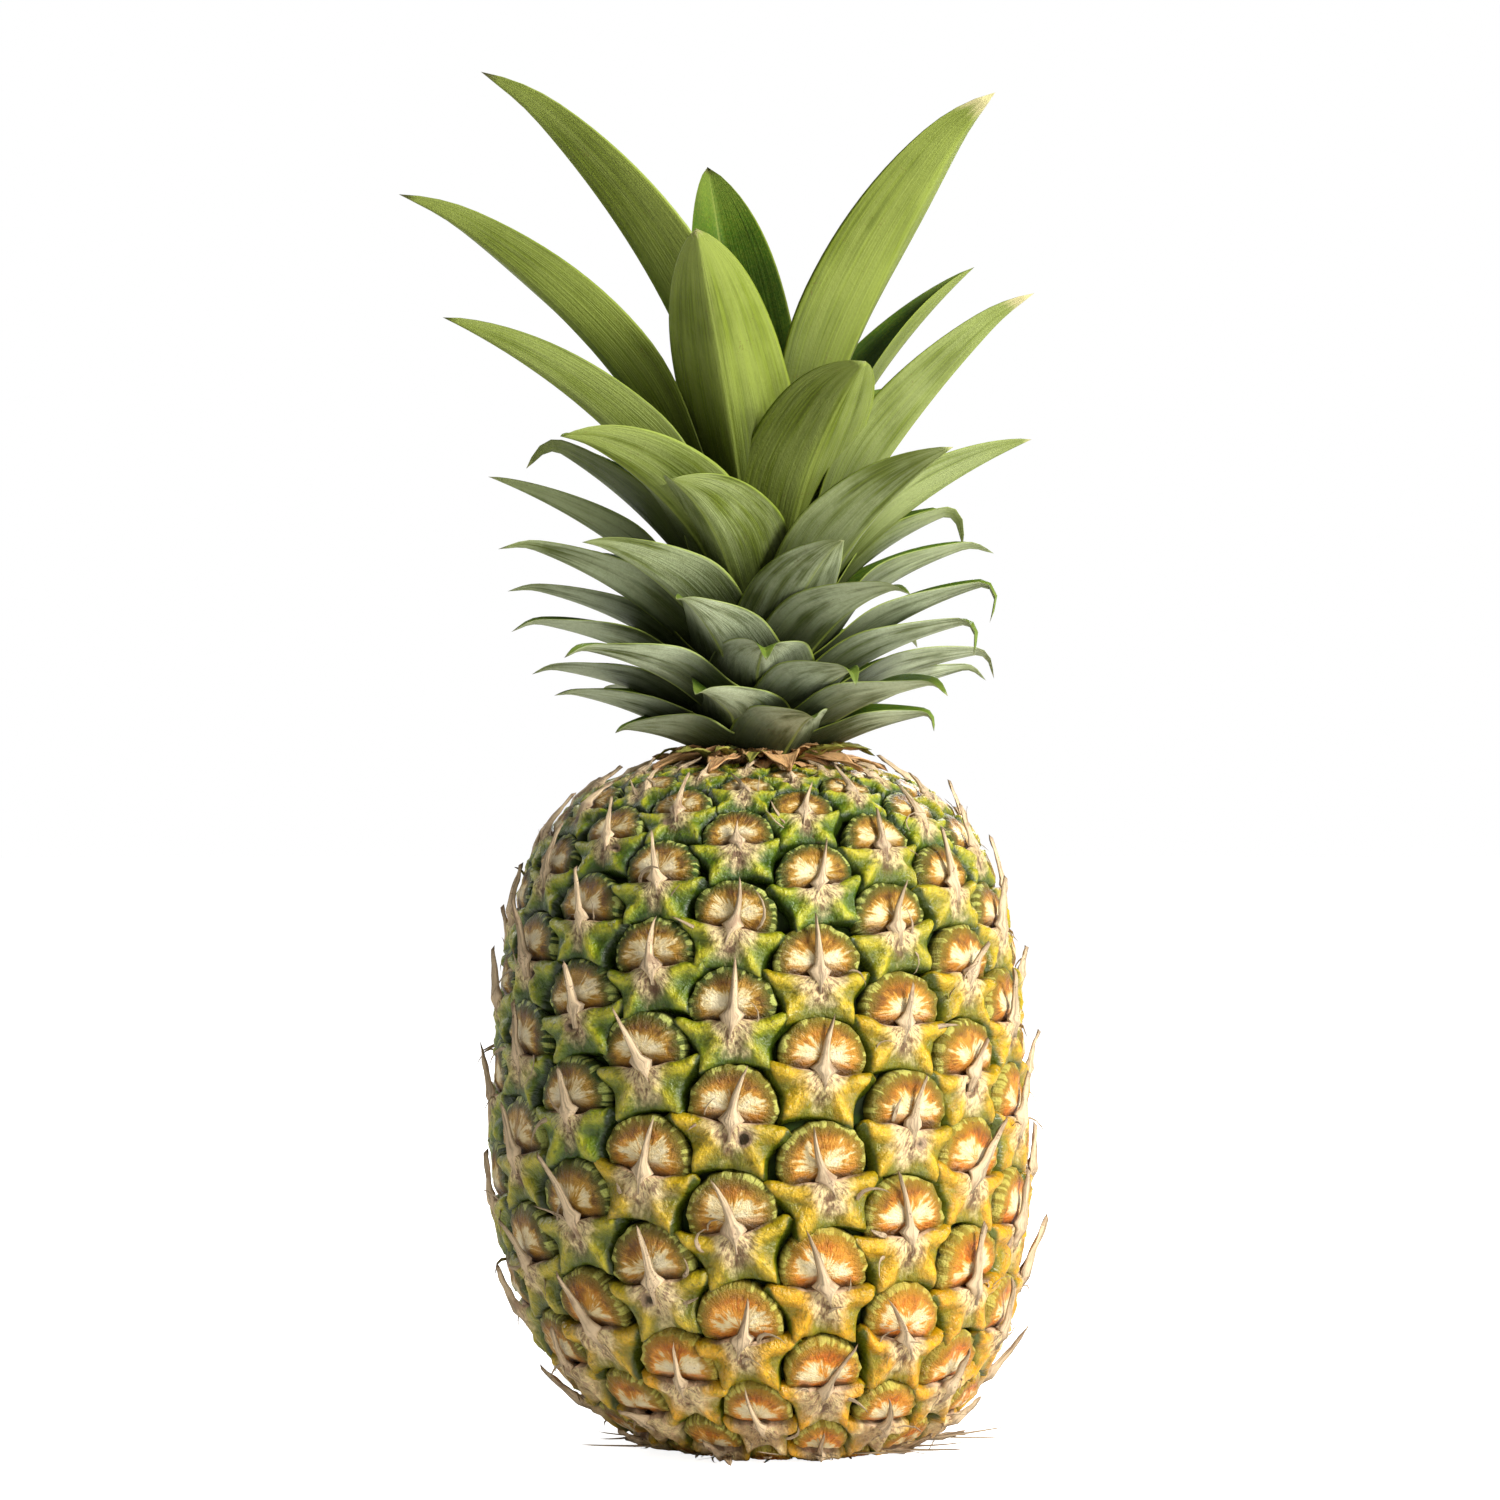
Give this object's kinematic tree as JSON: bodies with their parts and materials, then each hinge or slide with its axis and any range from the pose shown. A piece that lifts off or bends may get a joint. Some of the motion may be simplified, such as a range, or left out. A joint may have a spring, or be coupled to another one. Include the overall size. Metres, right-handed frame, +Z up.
{
  "type": "pineapple",
  "caption": "Whole ripe pineapple standing on its flat base, with raised eyes and a spreading crown of pointed leaves.",
  "frame": {"origin": "centre of the flat base that the fruit stands on", "axes": "+Z up from the base to the crown, -Y to the front, +X to the right seen from the front"},
  "size_m": [0.152, 0.1253, 0.3252],
  "materials": {
    "rind": "waxy orange and green eyes with dry bracts",
    "stem": "pale green, fibrous",
    "leaf": "matt green with a grey bloom",
    "dry_bract": "dry, papery tan"
  },
  "bodies": {
    "root": {"fruit": "rind", "crown_stem": "stem", "collar_bract_01": "dry_bract", "collar_bract_02": "dry_bract", "collar_bract_03": "dry_bract", "collar_bract_04": "dry_bract", "collar_bract_05": "dry_bract", "collar_bract_06": "dry_bract", "collar_bract_07": "dry_bract", "leaf_01": "leaf", "leaf_02": "leaf", "leaf_03": "leaf", "leaf_04": "leaf", "leaf_05": "leaf", "leaf_06": "leaf", "leaf_07": "leaf", "leaf_08": "leaf", "leaf_09": "leaf", "leaf_10": "leaf", "leaf_11": "leaf", "leaf_12": "leaf", "leaf_13": "leaf", "leaf_14": "leaf", "leaf_15": "leaf", "leaf_16": "leaf", "leaf_17": "leaf", "leaf_18": "leaf", "leaf_19": "leaf", "leaf_20": "leaf", "leaf_21": "leaf", "leaf_22": "leaf", "leaf_23": "leaf", "leaf_24": "leaf", "leaf_25": "leaf", "leaf_26": "leaf", "leaf_27": "leaf", "leaf_28": "leaf", "leaf_29": "leaf", "leaf_30": "leaf", "leaf_31": "leaf", "leaf_32": "leaf", "leaf_33": "leaf", "leaf_34": "leaf", "leaf_35": "leaf", "leaf_36": "leaf", "leaf_37": "leaf", "leaf_38": "leaf", "leaf_39": "leaf", "leaf_40": "leaf", "leaf_41": "leaf", "leaf_42": "leaf", "leaf_43": "leaf", "leaf_44": "leaf", "leaf_45": "leaf", "leaf_46": "leaf", "leaf_47": "leaf", "leaf_48": "leaf", "leaf_49": "leaf", "leaf_50": "leaf"}
  },
  "joints": []
}
